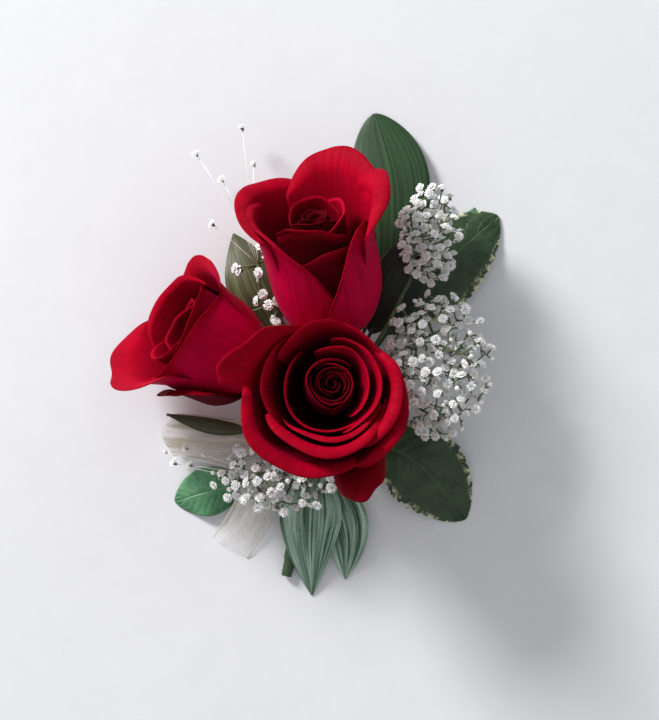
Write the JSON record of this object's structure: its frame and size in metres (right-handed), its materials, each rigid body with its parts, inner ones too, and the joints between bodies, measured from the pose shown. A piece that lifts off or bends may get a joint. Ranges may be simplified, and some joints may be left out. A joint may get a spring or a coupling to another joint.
{
  "type": "corsage",
  "caption": "Pin-on corsage of red roses with baby's breath, mixed green leaves and a sheer ribbon, bound with tape.",
  "frame": {"origin": "centre of the flat back of the tape binding, on the surface that the corsage lies on", "axes": "+Z away from the surface, +Y from the taped tail towards the far rose"},
  "size_m": [0.1191, 0.1488, 0.0566],
  "materials": {
    "rose_petal": "satin",
    "calyx_green": "matte",
    "smooth_leaf": "satin",
    "toothed_leaf": "satin",
    "blue_leaf": "matte",
    "breath": "matte",
    "organza": "satin",
    "floral_tape": "matte"
  },
  "bodies": {
    "root": {"tape_binding": "floral_tape", "rose_centre_petals": "rose_petal", "rose_centre_calyx": "calyx_green", "rose_top_petals": "rose_petal", "rose_top_calyx": "calyx_green", "rose_left_petals": "rose_petal", "rose_left_calyx": "calyx_green", "leaf_top": "smooth_leaf", "leaf_right": "toothed_leaf", "leaf_behind": "smooth_leaf", "leaf_inner": "smooth_leaf", "leaf_low_right": "toothed_leaf", "leaf_bottom": "smooth_leaf", "leaf_bottom_back": "smooth_leaf", "leaf_low_left": "blue_leaf", "leaf_thin": "calyx_green", "leaf_high_left": "smooth_leaf", "ribbon_loop": "organza", "ribbon_tail": "organza", "breath_right": "breath", "breath_top_right": "breath", "breath_low_left": "breath", "breath_high_left": "breath"}
  },
  "joints": []
}
